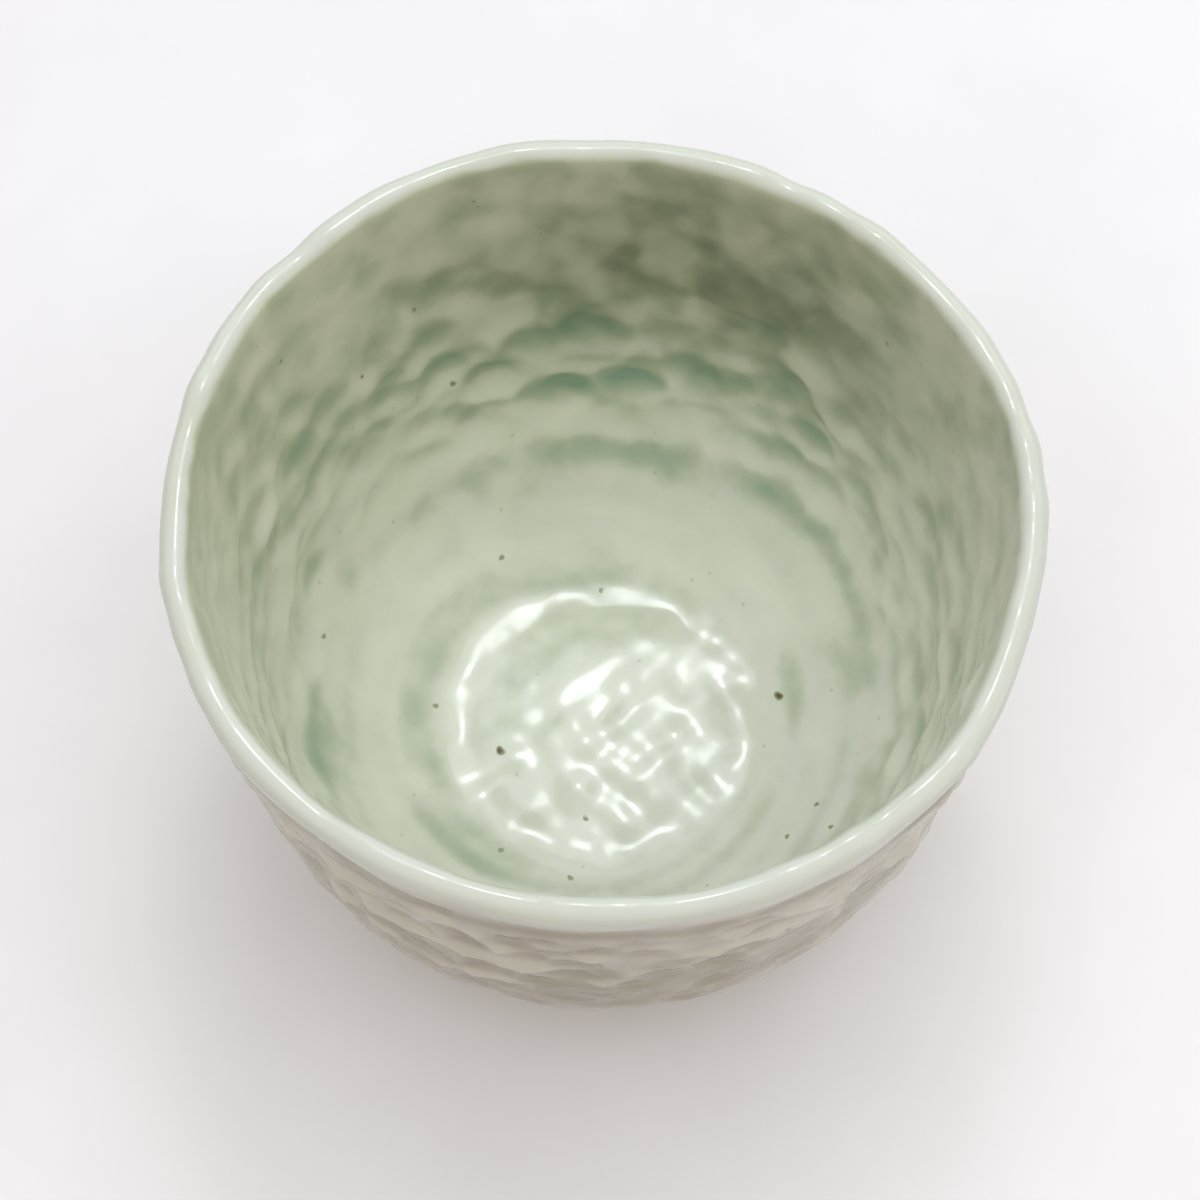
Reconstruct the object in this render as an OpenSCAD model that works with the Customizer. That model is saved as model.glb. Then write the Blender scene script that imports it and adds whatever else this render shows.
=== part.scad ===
// Hand-built porcelain tea bowl with a celadon glaze.
// The foot ring is set into a groove under the floor disc, the wall is lapped onto the disc's bevelled
// edge, and the glaze lies over the clay as separate coats. Millimetres, +Z up, standing on z = 0.
// Every section is drawn as [radius, height] and turned about the bowl's axis. The two coats of the wall are
// beaten: rings of corners follow the same sections, and every second corner of a row is sunk to a hollow.

/* [Bowl] */
// Diameter across the lip, over the glaze
lip_d = 110; // [96:1:130]
// Height from the table to the top of the lip
bowl_h = 78; // [68:1:95]
// Thickness of the rounded lip, over the glaze
lip_w = 3.6; // [3:0.1:5]
// Outward lean of the outside of the wall, in degrees
wall_lean = 5.7; // [3:0.1:8]
// Thickness of the wall where it starts to curve in, over the glaze
wall_w = 4.8; // [3.6:0.1:6]
// Radius of the rounded haunch outside, over the glaze
haunch_r = 32; // [28:0.5:36]
// Radius of the curve between wall and floor inside, over the glaze
well_r = 27; // [23:0.5:30]

/* [Floor and foot] */
// Thickness of the floor disc at its middle
floor_t = 3.4; // [3:0.1:6]
// Height of the floor disc's underside above the table
foot_h = 4.6; // [3:0.1:7]
// Diameter of the foot ring
foot_d = 60; // [50:1:66]
// Width of the foot ring
foot_w = 5; // [3.5:0.1:8]
// Depth of the groove that the foot ring is set into
foot_seat = 0.8; // [0.4:0.1:1.5]
// Bevel on the foot ring's lower edges
foot_bevel = 0.7; // [0.3:0.1:1.2]
// How far up the inside curve the seam between floor and wall lies, in degrees
seam_up = 20; // [14:1:28]
// Fall of the seam's bevel towards the outside, in degrees
seam_fall = 15; // [5:1:25]

/* [Glaze] */
// Thickness of the glaze coats where they are smooth
glaze_t = 0.85; // [0.75:0.05:1]
// Width of the ring of pooled glaze over the seam
pool_w = 10; // [6:0.5:12]

/* [Beaten hollows] */
// Distance between the hollows along a row, at the lip
beat_pitch = 10.5; // [9:0.5:14]
// Distance between the rows of hollows
beat_row = 8.3; // [7:0.1:12]
// Depth of a usual hollow
beat_depth = 0.5; // [0.3:0.05:0.5]
// Height of the ridges between the hollows
beat_rise = 0.25; // [0.1:0.05:0.35]
// Smooth band under the lip
beat_top = 6; // [4:0.5:12]
// How far the hollows reach down the inside curve
beat_in = 12; // [4:0.5:16]
// Smooth band above the foot
beat_foot = 10; // [6:0.5:25]

/* [Iron specks] */
// Diameter of a large speck
big_speck_d = 1.2; // [0.8:0.1:2]
// Diameter of a small speck
small_speck_d = 0.7; // [0.4:0.1:1]

/* [Hidden] */
$fn = 360;

porcelain = "#e6e2d8";
celadon = "#c3cdba";
pale_celadon = "#dfe7dc";
pool_green = "#a3bca4";
iron_brown = "#4a3a22";

// Radius at height z on a line through p that leans outward by lean degrees
function on_line(p, lean, z) = p.x - (p.y - z) * tan(lean);
// Point a share of the way from a to b
function part_way(a, b, share) = a + share * (b - a);
// Unit vector that lies turn degrees up a curve from its lowest point
function up_curve(turn) = [sin(turn), -cos(turn)];

// Centre and radius of the lip's rounding
lip_r = lip_w / 2;
lip_c = [lip_d / 2 - lip_r, bowl_h - lip_r];

// Outside: the wall's normal and upward direction, and the centre of the haunch
out_n = [cos(wall_lean), -sin(wall_lean)];
out_up = [sin(wall_lean), cos(wall_lean)];
haunch_z = foot_h - glaze_t + haunch_r;
out_top = lip_c + lip_r * out_n;
out_r = on_line(out_top, wall_lean, haunch_z);
haunch_c = [out_r - haunch_r / cos(wall_lean), haunch_z];
out_low = haunch_c + haunch_r * out_n;

// Inside: a line from the wall's thickness at the haunch that just touches the lip's rounding
to_lip = lip_c - [out_r - wall_w, haunch_z];
in_lean = atan2(to_lip.x, to_lip.y) - asin(lip_r / norm(to_lip));
in_n = [-cos(in_lean), sin(in_lean)];
in_up = [sin(in_lean), cos(in_lean)];
in_top = lip_c + lip_r * in_n;
floor_z = foot_h + floor_t + glaze_t;
well_c = [on_line(in_top, in_lean, floor_z + well_r) - well_r / cos(in_lean), floor_z + well_r];
in_low = well_c - well_r * in_n;

// The seam starts on the clay inside and runs outward and down
seam_p = well_c + (well_r + glaze_t) * up_curve(seam_up);
seam_dir = [cos(seam_fall), -sin(seam_fall)];
pool_half = asin(pool_w / 2 / well_r);

foot_r = foot_d / 2;

// Specks on the flat floor: [turn about the axis, share of the way out, diameter]
floor_specks = [[199, 0.84, big_speck_d], [261, 0.83, small_speck_d]];
// Specks on the curve: [turn about the axis, degrees up the curve, diameter]
curve_specks = [[7, 16, big_speck_d], [91, 5, small_speck_d], [176, 12, small_speck_d],
                [235, 14, small_speck_d], [259.5, 15, small_speck_d], [121, 24, small_speck_d],
                [169, 55, small_speck_d], [323, 32, small_speck_d], [333, 35, small_speck_d],
                [328.5, 45, small_speck_d]];
// Specks on the inside of the wall: [turn about the axis, share of the way down, diameter]
wall_specks = [[110, 0.1, small_speck_d], [100, 0.3, small_speck_d], [122, 0.45, small_speck_d],
               [134, 0.6, small_speck_d], [148, 0.25, small_speck_d], [118.5, 0.9, small_speck_d],
               [40, 0.32, small_speck_d], [340, 0.25, small_speck_d]];
// Specks on the outside of the wall: [turn about the axis, share of the way down, diameter]
outside_specks = [[295, 0.47, small_speck_d]];
// Length of the rod that cuts a speck out of the glaze
speck_reach = 5 * glaze_t;

// Room between the flat facets of a coat and the round face of its neighbour
facet_room = 0.13;

// Length of the straight wall and of the whole face, outside down to the foot and inside down to the floor
out_len = norm(out_top - out_low);
in_len = norm(in_top - in_low);
coat_end = foot_r + facet_room;
out_face = out_len + (acos((coat_end - haunch_c.x) / haunch_r) - wall_lean) * PI / 180 * haunch_r;
in_face = in_len + (90 - in_lean) * PI / 180 * well_r;

// Point and outward normal at distance s below the lip: down the wall, then round the haunch or the curve
function on_haunch(a) = [haunch_c + haunch_r * [cos(a), -sin(a)], [cos(a), -sin(a)]];
function on_well(a) = [well_c + well_r * [cos(a), -sin(a)], [-cos(a), sin(a)]];
function out_at(s) = s < out_len ? [out_top - s * out_up, out_n]
    : on_haunch(wall_lean + (s - out_len) / haunch_r * 180 / PI);
function in_at(s) = s < in_len ? [in_top - s * in_up, in_n]
    : on_well(in_lean + (s - in_len) / well_r * 180 / PI);

// Rows of hollows on each side, and hollows in a row
out_rows = floor((out_face - beat_top - beat_foot) / beat_row);
in_rows = floor((in_len + beat_in - beat_top) / beat_row);
out_count = floor(PI * lip_d / beat_pitch);
in_count = floor(2 * PI * in_top.x / beat_pitch);
// How far a hollow strays from its place in the pattern, and how its depth varies, as shares
beat_stray = 0.16;
beat_vary = 0.2;
// Rings of facets on a smooth stretch and on a coat's back
smooth_rings = 8;
back_rings = 9;

// A scatter between -1 and 1 that differs from hollow to hollow
function scatter(row, place, kind) = sin(137.5 * place + 71 * row + 113 * kind * (place + row + 1));
// Corner at [radius, height] p, turned about the axis
function corner(p, turn) = [p.x * cos(turn), p.x * sin(turn), p.y];
// Ring of corners, two to a hollow, depth under the place at = [point, normal]
function plain_ring(at, depth, count) =
    [for (c = [0 : 2 * count - 1]) corner(at[0] - depth * at[1], c * 180 / count)];
// Half a row of the beaten face: odd half rows hold the hollows, staggered from row to row
function beaten_ring(half, rows, count, out) =
    [for (c = [0 : 2 * count - 1])
        let (row = floor(half / 2),
             pit = half % 2 == 1 && (c + row) % 2 == 0,
             stray = pit ? beat_stray : 0,
             s = beat_top + (half / 2 + stray * scatter(row, c, 1)) * beat_row,
             at = out ? out_at(s) : in_at(s),
             end = half == 0 || half == 2 * rows,
             lift = pit ? -beat_depth * (1 + beat_vary * scatter(row, c, 3)) : end ? 0 : beat_rise)
        corner(at[0] + lift * at[1], (c + 2 * stray * scatter(row, c, 2)) * 180 / count)];
// Two triangles for each corner of a strip between rings i and j of n corners
function strip(i, j, n) =
    [for (c = [0 : n - 1]) let (d = (c + 1) % n)
        each [[i * n + c, i * n + d, j * n + d], [i * n + c, j * n + d, j * n + c]]];
// Triangles from the corner pole to ring i of n corners
function fan(pole, i, n, down) =
    [for (c = [0 : n - 1]) let (d = (c + 1) % n)
        down ? [pole, i * n + d, i * n + c] : [pole, i * n + c, i * n + d]];

// Sections

// A quarter disc, below and outside its centre c
module quarter(c, r) {
    intersection() {
        translate(c) circle(r);
        translate(c - [0, r]) square(r);
    }
}

// All that lies within the outside, depth g under the glaze, with its wall raised past the lip by rise
module outside(g, rise = 0) {
    r = haunch_r - g;
    quarter(haunch_c, r);
    polygon([[0, haunch_c.y - r], haunch_c - [0, r], haunch_c + r * out_n,
             lip_c + (lip_r - g) * out_n + rise * out_up, lip_c + rise * in_up,
             [0, lip_c.y + lip_c.x * tan(in_lean) + rise]]);
}

// The hollow, with its surface depth g under the glaze and its wall raised past the lip by rise
module hollow(g, rise = 0) {
    r = well_r + g;
    quarter(well_c, r);
    polygon([[0, well_c.y - r], well_c - [0, r], well_c - r * in_n,
             lip_c + (lip_r - g) * in_n + rise * in_up,
             [0, lip_c.y + lip_c.x * tan(in_lean) + rise]]);
}

// The clay of wall and floor together
module clay() {
    difference() {
        outside(glaze_t);
        hollow(glaze_t, lip_w);
    }
    translate(lip_c) circle(lip_r - glaze_t);
}

// All that lies under the seam
module under_seam() {
    far = seam_p + lip_d * seam_dir;
    near = seam_p - seam_p.x / seam_dir.x * seam_dir;
    polygon([near, far, [far.x, far.y - bowl_h], [0, far.y - bowl_h]]);
}

module foot_section() {
    inner = foot_r - foot_w;
    difference() {
        polygon([[inner + foot_bevel, 0], [foot_r - foot_bevel, 0], [foot_r, foot_bevel],
                 [foot_r, haunch_z], [inner, haunch_z], [inner, foot_bevel]]);
        outside(glaze_t + foot_seat);
    }
}

module inside_coat() {
    difference() {
        hollow(glaze_t);
        hollow(0, lip_w);
    }
}

// The coat over the lip, between the ends of the two other coats
module lip_coat() {
    intersection() {
        translate(lip_c) difference() {
            circle(lip_r);
            circle(lip_r - glaze_t);
        }
        polygon([lip_c, lip_c + lip_w * out_n, lip_c + [lip_w, lip_w], lip_c + [-lip_w, lip_w],
                 lip_c + lip_w * in_n]);
    }
}

// Pooled glaze: the slice of the curve that a straight chord cuts off over the seam
module pool() {
    low = well_c + well_r * up_curve(seam_up - pool_half);
    high = well_c + well_r * up_curve(seam_up + pool_half);
    deep = glaze_t + pool_w;
    intersection() {
        quarter(well_c, well_r);
        polygon([low, low + deep * up_curve(seam_up), high + deep * up_curve(seam_up), high]);
    }
}

// Rods through the glaze at the specks

module rod(turn, at, tilt, d) {
    rotate([0, 0, turn]) translate([at.x, 0, at.y]) rotate([0, -tilt, 0])
        cylinder(h = speck_reach, d = d, center = true);
}

module well_rods() {
    for (s = floor_specks) rod(s[0], [s[1] * well_c.x, floor_z], 0, s[2]);
    for (s = curve_specks) rod(s[0], well_c + well_r * up_curve(s[1]), s[1], s[2]);
}

module wall_rods() {
    for (s = wall_specks) rod(s[0], part_way(in_top, in_low, s[1]), 90 - in_lean, s[2]);
}

module outside_rods() {
    for (s = outside_specks) rod(s[0], part_way(out_top, out_low, s[1]), 90 - wall_lean, s[2]);
}

// Beaten coats, with each ring of corners joined to the next

module beaten_outside() {
    smooth = beat_top + out_rows * beat_row;
    back_depth = glaze_t - facet_room;
    back_turn = acos((coat_end - haunch_c.x) / (haunch_r - back_depth));
    rings = concat(
        [plain_ring(out_at(0), 0, out_count)],
        [for (half = [0 : 2 * out_rows]) beaten_ring(half, out_rows, out_count, true)],
        [for (k = [1 : smooth_rings])
            plain_ring(out_at(part_way(smooth, out_face, k / smooth_rings)), 0, out_count)],
        [for (k = [back_rings : -1 : 0])
            plain_ring(on_haunch(part_way(wall_lean, back_turn, k / back_rings)), back_depth, out_count)],
        [plain_ring(out_at(0), back_depth, out_count)]);
    n = 2 * out_count;
    last = len(rings) - 1;
    polyhedron([for (ring = rings) each ring],
               [for (i = [0 : last]) each strip(i, (i + 1) % (last + 1), n)]);
}

module beaten_inside() {
    smooth = beat_top + in_rows * beat_row;
    front = concat(
        [plain_ring(in_at(0), 0, in_count)],
        [for (half = [0 : 2 * in_rows]) beaten_ring(half, in_rows, in_count, false)],
        [for (k = [1 : smooth_rings])
            plain_ring(in_at(part_way(smooth, in_face, k / smooth_rings)), facet_room, in_count)]);
    back = concat(
        [for (k = [back_rings : -1 : 0])
            plain_ring(on_well(part_way(in_lean, 90, k / back_rings)), glaze_t, in_count)],
        [plain_ring(in_at(0), glaze_t, in_count)]);
    rings = concat(front, back);
    n = 2 * in_count;
    last = len(rings) - 1;
    turn_back = len(front) - 1;
    middles = [[0, 0, floor_z - facet_room], [0, 0, floor_z - glaze_t]];
    polyhedron(concat([for (ring = rings) each ring], middles),
               concat([for (i = [0 : last]) if (i != turn_back) each strip((i + 1) % (last + 1), i, n)],
                      fan((last + 1) * n, turn_back, n, true),
                      fan((last + 1) * n + 1, turn_back + 1, n, false)));
}

// Sub-parts

module foot_ring() {
    color(porcelain) rotate_extrude() foot_section();
}

module floor_disc() {
    color(porcelain) rotate_extrude() difference() {
        intersection() {
            clay();
            under_seam();
        }
        foot_section();
    }
}

module wall() {
    color(porcelain) rotate_extrude() difference() {
        clay();
        under_seam();
        foot_section();
    }
}

module inside_glaze() {
    color(celadon) difference() {
        beaten_inside();
        well_rods();
        wall_rods();
    }
}

module outside_glaze() {
    color(celadon) difference() {
        beaten_outside();
        outside_rods();
    }
}

module lip_glaze() {
    color(pale_celadon) rotate_extrude() lip_coat();
}

module well_pool() {
    color(pool_green) difference() {
        rotate_extrude() pool();
        well_rods();
    }
}

module iron_specks() {
    color(iron_brown) {
        intersection() {
            rotate_extrude() {
                inside_coat();
                pool();
            }
            well_rods();
        }
        intersection() {
            beaten_inside();
            wall_rods();
        }
        intersection() {
            beaten_outside();
            outside_rods();
        }
    }
}

foot_ring();
floor_disc();
wall();
inside_glaze();
outside_glaze();
lip_glaze();
well_pool();
iron_specks();
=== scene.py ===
"""Looks of a hand-built porcelain tea bowl with a celadon glaze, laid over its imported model.

The bowl's half section is carried round its axis, beaten hollows, lip waves and floor ripples are pressed
into that skin, and the skin is sliced into the coats of glaze and the clay that lies under them.
"""

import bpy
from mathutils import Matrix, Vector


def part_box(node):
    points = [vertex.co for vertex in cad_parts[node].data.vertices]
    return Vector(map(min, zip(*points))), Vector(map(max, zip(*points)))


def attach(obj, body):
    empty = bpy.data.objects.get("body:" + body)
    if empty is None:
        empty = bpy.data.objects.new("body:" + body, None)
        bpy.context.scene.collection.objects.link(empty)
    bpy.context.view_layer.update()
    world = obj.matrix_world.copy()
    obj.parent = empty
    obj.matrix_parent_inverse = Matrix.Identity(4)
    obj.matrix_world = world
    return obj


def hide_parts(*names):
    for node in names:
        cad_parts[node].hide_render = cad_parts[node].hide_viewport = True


bl_info = {
    "name": "Tea bowl",
    "version": (1, 0, 0),
    "blender": (4, 5, 0),
    "location": "3D View > Sidebar > Tea bowl",
    "description": "Beaten porcelain tea bowl with a celadon glaze",
    "category": "Add Mesh",
}

import math
from functools import lru_cache
from types import SimpleNamespace

import bpy
import numpy as np
from bpy.props import FloatProperty, FloatVectorProperty, IntProperty, PointerProperty

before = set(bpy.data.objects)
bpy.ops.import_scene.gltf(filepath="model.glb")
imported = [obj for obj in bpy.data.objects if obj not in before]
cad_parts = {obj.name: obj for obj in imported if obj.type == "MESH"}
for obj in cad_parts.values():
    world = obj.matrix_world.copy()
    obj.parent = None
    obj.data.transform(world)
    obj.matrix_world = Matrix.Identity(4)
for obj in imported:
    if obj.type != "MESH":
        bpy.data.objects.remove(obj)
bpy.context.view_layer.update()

MM = 0.001
BODY = "root"

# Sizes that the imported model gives
LIP_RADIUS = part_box("lip_glaze")[1].x
BOWL_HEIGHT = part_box("lip_glaze")[1].z
GLAZE = BOWL_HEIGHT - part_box("wall")[1].z
FOOT_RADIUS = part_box("foot_ring")[1].x
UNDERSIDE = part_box("floor_disc")[0].z
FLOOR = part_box("inside_glaze")[0].z + GLAZE

# Faces round the bowl on the glaze, and on the clay under it
ROUND = 512
CLAY_ROUND = ROUND // 2
# Steps along the section: floor, inside curve, inside wall, lip, outside wall, haunch
STEPS = (44, 52, 46, 16, 72, 58)


def linear(code):
    """Linear colour and alpha of an sRGB hex code."""
    srgb = np.array([int(code[i:i + 2], 16) for i in (1, 3, 5)]) / 255.0
    light = np.where(srgb <= 0.04045, srgb / 12.92, ((srgb + 0.055) / 1.055) ** 2.4)
    return (*light.tolist(), 1.0)


def colour(name, description, code):
    """A colour that the panel shows."""
    return FloatVectorProperty(
        name=name, description=description, default=linear(code), subtype="COLOR", size=4, min=0.0, max=1.0
    )


def length(name, description, millimetres):
    """A length that the panel shows."""
    return FloatProperty(
        name=name, description=description, default=millimetres * MM, unit="LENGTH", precision=4
    )


def slant(name, description, degrees):
    """An angle that the panel shows."""
    return FloatProperty(name=name, description=description, default=math.radians(degrees), subtype="ANGLE")


class BowlSizes(bpy.types.PropertyGroup):
    """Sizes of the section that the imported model's boxes don't give."""

    lip_width: length("Lip width", "Thickness of the rounded lip, over the glaze", 3.6)
    wall_width: length("Wall width", "Thickness of the wall where it starts to curve in", 4.8)
    wall_lean: slant("Wall lean", "Outward lean of the outside", 5.7)
    haunch_radius: length("Haunch radius", "Radius of the rounded haunch outside", 32)
    well_radius: length("Well radius", "Radius of the curve between wall and floor inside", 27)
    seam_up: slant("Seam", "How far up the inside curve the seam lies", 20)
    seam_fall: slant("Seam fall", "Fall of the seam's bevel", 15)
    pool_width: length("Pool width", "Width of the ring of pooled glaze over the seam", 10)
    pool_depth: length("Pool depth", "How far the pooled glaze stands over the inside coat", 0.2)
    foot_width: length("Foot width", "Width of the foot ring", 5)
    foot_seat: length("Foot seat", "Depth of the groove that the foot ring is set into", 0.8)


class BeatenSizes(bpy.types.PropertyGroup):
    """Depths of the marks that beating and drying left in the surface."""

    inside_depth: length("Inside hollows", "Depth of the rows of hollows inside", 1.0)
    inside_fine: length("Inside marks", "Depth of the finer marks between them", 0.5)
    outside_depth: length("Outside hollows", "Depth of the rows of hollows outside", 0.38)
    outside_fine: length("Outside marks", "Depth of the finer marks between them", 0.6)
    floor_rise: length("Floor rise", "How far the middle of the floor is domed", 0.45)
    floor_ripple: length("Floor ripples", "Usual height of the ripples on the floor", 0.078)
    lip_wave: length("Lip wave", "Usual rise and fall of the lip", 0.1)
    lip_waver: length("Lip waver", "Usual change of the lip's thickness", 0.13)
    lip_flat: length("Lip flat", "How far the top of the lip is wiped flat", 0.1)
    lip_groove: length("Lip groove", "Depth of the groove under the lip outside", 0.3)
    seed: IntProperty(name="Seed", description="Seed of the scatter of the hollows", default=11)


class GlazeColours(bpy.types.PropertyGroup):
    """Colours of the glaze, the clay and the iron spots, and of tints that paint light and shade on the glaze.
    """

    thin: colour("Thin glaze", "Cream glaze where it drained off a ridge", "#E6E9DA")
    pale: colour("Pale glaze", "Pale grey-green glaze", "#DEE2D4")
    celadon: colour("Celadon", "Glaze of normal thickness", "#BEC8B3")
    pooled: colour("Pooled glaze", "Blue-green glaze where it lies thick", "#93B19D")
    # The olive tint darkens the glaze towards the back left and the lip, in clouds
    olive: colour("Olive", "Tint of the glaze on the side of the kiln that had more air", "#D8DEBA")
    # Painted shade: darkens the glaze in blots under the lip at the back
    back_shade_tint: colour("Smoky", "Tint of the glaze where smoke lay in it", "#999E8A")
    lip: colour("Lip", "Drained glaze over the lip", "#D2D9CB")
    # Painted warm light and painted shade on the outside glaze, most in hollows and where it faces down
    warm_light_and_shade: colour("Warm clay tone", "Clay showing through the thin glaze outside", "#927F69")
    clay: colour("Bare porcelain", "Fired clay without glaze", "#E6DFD2")
    flash: colour("Flashing", "Toasted edge of the bare clay", "#D2B896")
    iron: colour("Iron", "Middle of an iron spot", "#564F36")
    rust: colour("Rust", "Edge of an iron spot", "#857F5C")
    rust_rim: colour("Rust rim", "Where an iron spot fades into the glaze", "#A3AB8C")


class StageSizes(bpy.types.PropertyGroup):
    """The camera and the floor."""

    lens: FloatProperty(name="Lens", description="Focal length in millimetres", default=75.0)
    camera_side: length("Camera side", "Camera's place to the side", -0.43)
    camera_back: length("Camera back", "Camera's place in front of the bowl", 145.9)
    camera_up: length("Camera height", "Camera's height above the table", 349.7)
    camera_tilt: slant("Tilt", "Angle between the view and straight down", 25.9)
    floor: colour("Floor", "Colour of the floor", "#F3F4F3")


# The half section


def straight(start, end, normal):
    """A straight stretch: its length, and a function that gives points and normals at distances along it."""
    span = np.hypot(*(end - start))
    way = (end - start) / span

    def place(distance):
        points = start + distance[:, None] * way
        return points, np.broadcast_to(normal, points.shape)

    return span, place


def arc(centre, radius, first, last, side):
    """A round stretch from angle first to angle last; side is 1 where it faces away from its centre."""
    sense = math.copysign(1.0, last - first)

    def place(distance):
        angle = first + sense * distance / radius
        way = np.stack([np.cos(angle), np.sin(angle)], axis=1)
        return centre + radius * way, side * way

    return radius * abs(last - first), place


@lru_cache(maxsize=1)
def bowl_section():
    """The section over the glaze: floor, inside curve, inside wall, lip, outside wall and haunch, end to end.

    The inside wall is the line from the wall's thickness at the haunch that just touches the lip's rounding.
    """
    sizes = bpy.context.scene.tea_bowl_sizes
    lean = sizes.wall_lean
    lip_r = sizes.lip_width / 2
    lip_c = np.array([LIP_RADIUS - lip_r, BOWL_HEIGHT - lip_r])
    out_n = np.array([math.cos(lean), -math.sin(lean)])
    out_top = lip_c + lip_r * out_n
    haunch_z = UNDERSIDE - GLAZE + sizes.haunch_radius
    out_r = out_top[0] - (out_top[1] - haunch_z) * math.tan(lean)
    haunch_c = np.array([out_r - sizes.haunch_radius / math.cos(lean), haunch_z])
    to_lip = lip_c - np.array([out_r - sizes.wall_width, haunch_z])
    in_lean = math.atan2(*to_lip) - math.asin(lip_r / np.hypot(*to_lip))
    in_n = np.array([-math.cos(in_lean), math.sin(in_lean)])
    in_top = lip_c + lip_r * in_n
    well_z = FLOOR + sizes.well_radius
    well_x = in_top[0] - (in_top[1] - well_z) * math.tan(in_lean) - sizes.well_radius / math.cos(in_lean)
    well_c = np.array([well_x, well_z])
    foot_angle = math.asin((FOOT_RADIUS - haunch_c[0]) / sizes.haunch_radius) - math.pi / 2
    stretches = (
        straight(np.array([0.0, FLOOR]), np.array([well_x, FLOOR]), np.array([0.0, 1.0])),
        arc(well_c, sizes.well_radius, -math.pi / 2, -in_lean, -1),
        straight(well_c - sizes.well_radius * in_n, in_top, in_n),
        arc(lip_c, lip_r, math.pi - in_lean, -lean, 1),
        straight(out_top, haunch_c + sizes.haunch_radius * out_n, out_n),
        arc(haunch_c, sizes.haunch_radius, -lean, foot_angle, 1),
    )
    ends = np.cumsum([0.0] + [span for span, place in stretches])
    return SimpleNamespace(stretches=stretches, ends=ends, well_c=well_c, haunch_c=haunch_c)


def along_section(run):
    """Points and normals (radius, height) at distances run along the section from the floor's middle."""
    section = bowl_section()
    points = np.zeros((len(run), 2))
    normals = np.zeros((len(run), 2))
    for start, (span, place) in zip(section.ends, section.stretches):
        here = run >= start - 1e-9
        points[here], normals[here] = place(run[here] - start)
    return points, normals


# Marks in the surface


def ease(low, high, value):
    """Smooth step: 0 up to low, 1 from high, and 3t^2 - 2t^3 between."""
    t = np.clip((value - low) / (high - low), 0.0, 1.0)
    return t * t * (3.0 - 2.0 * t)


def hump(middle, half, value):
    """Bell curve of height 1 that has fallen to 1/e at half from its middle."""
    return np.exp(-(((value - middle) / half) ** 2))


def bell_turn(middle, half, turn):
    """Bell curve round the axis, with the angles in degrees."""
    away = (np.degrees(turn) - middle + 180.0) % 360.0 - 180.0
    return np.exp(-((away / half) ** 2))


def scatter(row, place, kind):
    """A scatter between -1 and 1 that differs from hollow to hollow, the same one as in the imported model."""
    return np.sin(np.radians(137.5 * place + 71 * row + 113 * kind * (place + row + 1)))


# How single hollows differ: tilt in radians, then shares of their size and depth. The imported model's scatter
# gives each depth a share too
OWN_TILT = 0.35
OWN_SIZE = 0.22
OWN_DEPTH = 0.4
PACKED_DEPTH = 0.2


def hollows(turn, down, radius, pattern, seed):
    """Depth of overlapping hollows, 1 at the bottom of a usual one, as a soft maximum of dished ellipses.

    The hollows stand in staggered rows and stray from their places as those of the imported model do, and each
    strays a little more of its own and has its own tilt, size and depth. A point takes
    log(sum(exp(edge * depth))) / edge over the hollows round it. With a skew above 0 the lower end is the
    steeper.
    """
    half = math.pi / pattern.count
    rows = int(np.max(down) / pattern.row) + 2
    drawn = np.random.default_rng(seed).uniform(-1.0, 1.0, (rows, 2 * pattern.count, 6))
    total = np.zeros(np.broadcast_shapes(turn.shape, down.shape))
    for step in (-1, 0, 1):
        line = np.floor(down / pattern.row).astype(int) + step
        first = 2 * np.floor((turn / half - line % 2) / 2).astype(int) + line % 2
        for side in (-2, 0, 2, 4):
            place = (first + side) % (2 * pattern.count)
            own = drawn[np.clip(line, 0, rows - 1), place]
            aside = pattern.stray * scatter(line, place, 2) + pattern.own_stray * own[..., 0]
            across = (turn / half - first - side - 2 * aside) * half * radius
            below = pattern.stray * scatter(line, place, 1) + pattern.own_stray * own[..., 1]
            along = down - (line + 0.5 + below) * pattern.row
            along = along / (1 - pattern.skew * np.tanh(2 * along / pattern.tall))
            tilt = OWN_TILT * own[..., 2]
            wide = pattern.wide * (1 + OWN_SIZE * own[..., 3])
            tall = pattern.tall * (1 + OWN_SIZE * own[..., 4])
            u = (across * np.cos(tilt) + along * np.sin(tilt)) / wide
            v = (along * np.cos(tilt) - across * np.sin(tilt)) / tall
            depth = 1 + PACKED_DEPTH * scatter(line, place, 3) + OWN_DEPTH * own[..., 5]
            total += np.exp(pattern.edge * np.clip(depth * (1 - u * u - v * v), -6.0, None))
    return np.log(total) / pattern.edge


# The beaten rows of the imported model, inside and outside, and finer marks between them
INSIDE_ROWS = SimpleNamespace(
    count=30, row=8.3 * MM, wide=6.3 * MM, tall=5.2 * MM, stray=0.16, own_stray=0.24, skew=0.12, edge=3.2
)
OUTSIDE_ROWS = SimpleNamespace(
    count=32, row=8.3 * MM, wide=6.2 * MM, tall=5.2 * MM, stray=0.16, own_stray=0.12, skew=0.2, edge=4.5
)
INSIDE_FINE = SimpleNamespace(
    count=43, row=6.2 * MM, wide=4.7 * MM, tall=3.9 * MM, stray=0.0, own_stray=0.4, skew=0.12, edge=6.0
)
OUTSIDE_FINE = SimpleNamespace(
    count=52, row=5.8 * MM, wide=4.1 * MM, tall=3.4 * MM, stray=0.0, own_stray=0.36, skew=0.2, edge=7.0
)
# Smooth band under the lip, above the first row
BEATEN_FROM = 6.0 * MM
# Share of the marks' height that the clay under the glaze has, and the glaze's least thickness over it
CLAY_SHARE = 0.3
LEAST_COAT = 0.4 * MM


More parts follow.
